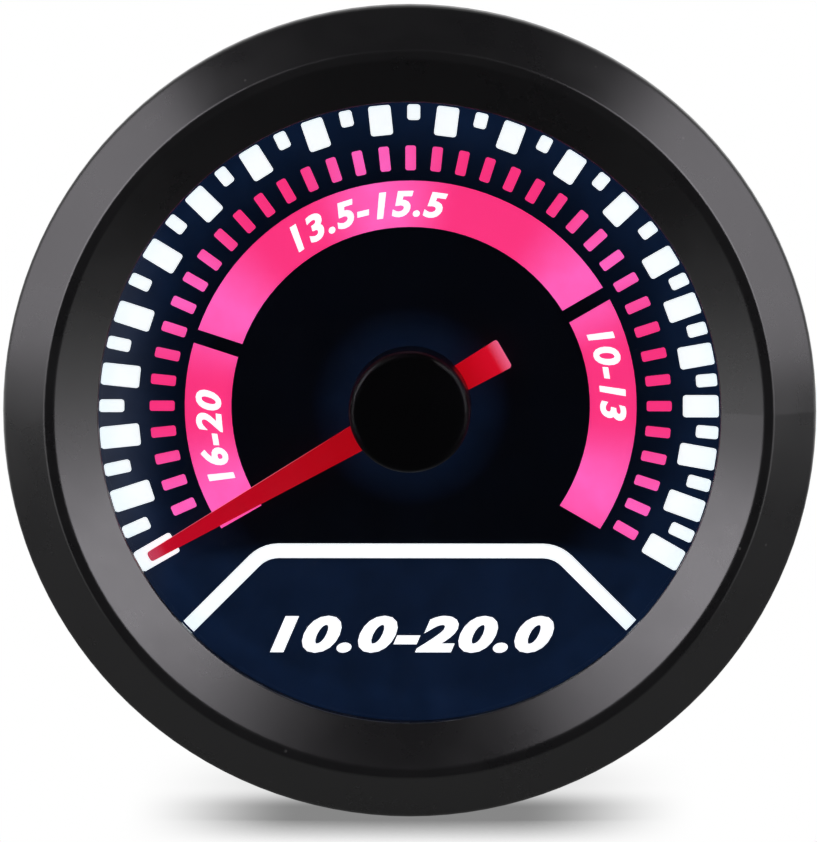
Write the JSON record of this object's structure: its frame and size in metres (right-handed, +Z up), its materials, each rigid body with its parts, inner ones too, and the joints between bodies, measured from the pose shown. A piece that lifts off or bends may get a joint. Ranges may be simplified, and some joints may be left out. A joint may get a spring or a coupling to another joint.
{
  "type": "air fuel ratio gauge",
  "caption": "Round dashboard gauge with a lit mixture scale, a swinging pointer on a geared stepper movement, a deep can, and a clamp bracket behind the panel.",
  "frame": {"origin": "on the gauge's axis, in the plane where the bezel's rear edge seats on the panel", "axes": "The dial looks towards -Y, the can runs back along +Y, +Z is up on the dial and +X is to the right as the driver sees it."},
  "size_m": [0.06, 0.0544, 0.06],
  "materials": {
    "bezel_black": "satin, fine moulded grain",
    "lens_clear": "clear, lightly smoked",
    "seal_rubber": "matt",
    "hood_black": "matt",
    "mask_black": "satin print",
    "film_white": "translucent",
    "film_red": "translucent",
    "guide_clear": "clear",
    "light_box_white": "matt",
    "lamp_board_white": "satin solder resist",
    "lamp_white": "clear resin",
    "lamp_red": "clear resin",
    "case_natural": "matt",
    "stator_steel": "pressed",
    "bobbin_black": "matt",
    "copper_wire": "enamelled copper",
    "magnet_grey": "sintered",
    "turned_brass": "turned",
    "gear_acetal": "satin",
    "shaft_steel": "ground",
    "pointer_red": "translucent",
    "cap_black": "satin",
    "pin_gold": "plated",
    "header_black": "matt",
    "board_green": "satin solder resist",
    "capacitor_can": "satin",
    "connector_ivory": "satin",
    "can_black": "matt",
    "zinc_steel": "zinc plated"
  },
  "bodies": {
    "housing": {"bezel_ring": "bezel_black", "lens": "lens_clear", "lens_gasket": "seal_rubber", "dial_hood": "hood_black", "dial_mask": "mask_black", "white_film": "film_white", "red_film": "film_red", "light_guide": "guide_clear", "light_box": "light_box_white", "lamp_board": "lamp_board_white", "white_lamps": "lamp_white", "red_lamps": "lamp_red", "movement_front_case": "case_natural", "movement_rear_case": "case_natural", "stator": "stator_steel", "coil_bobbins": "bobbin_black", "coil_windings": "copper_wire", "movement_terminals": "pin_gold", "link_header": "header_black", "link_pins": "pin_gold", "board_standoffs": "turned_brass", "board_screws": "zinc_steel", "main_board": "board_green", "control_chips": "header_black", "filter_capacitors": "capacitor_can", "connector_shell": "connector_ivory", "connector_pins": "pin_gold", "can": "can_black", "rear_cover": "can_black", "cover_screws": "zinc_steel", "mounting_studs": "zinc_steel", "mounting_bracket": "zinc_steel", "lock_washers": "zinc_steel", "stud_nuts": "zinc_steel"},
    "rotor": {"rotor_magnet": "magnet_grey", "rotor_pinion": "turned_brass"},
    "intermediate": {"intermediate_gear": "gear_acetal"},
    "pointer_assembly": {"output_gear": "gear_acetal", "pointer_shaft": "shaft_steel", "pointer": "pointer_red", "hub_cap": "cap_black"}
  },
  "joints": [
    {"name": "rotor_turn", "type": "hinge", "parent": "housing", "child": "rotor", "pos_m": [0, 0.0174, -0.01063], "axis": [0, 1, 0], "range_deg": [0, 43200]},
    {"name": "intermediate_turn", "type": "hinge", "parent": "housing", "child": "intermediate", "pos_m": [0.00679, 0.0135, -0.00679], "axis": [0, 1, 0], "range_deg": [-3600, 0]},
    {"name": "pointer_turn", "type": "hinge", "parent": "housing", "child": "pointer_assembly", "pos_m": [0, 0, 0], "axis": [0, 1, 0], "range_deg": [0, 240]}
  ],
  "couplings": [
    {"joint": "intermediate_turn", "follows": "rotor_turn", "ratio": -0.083333},
    {"joint": "pointer_turn", "follows": "rotor_turn", "ratio": 0.0055556}
  ]
}
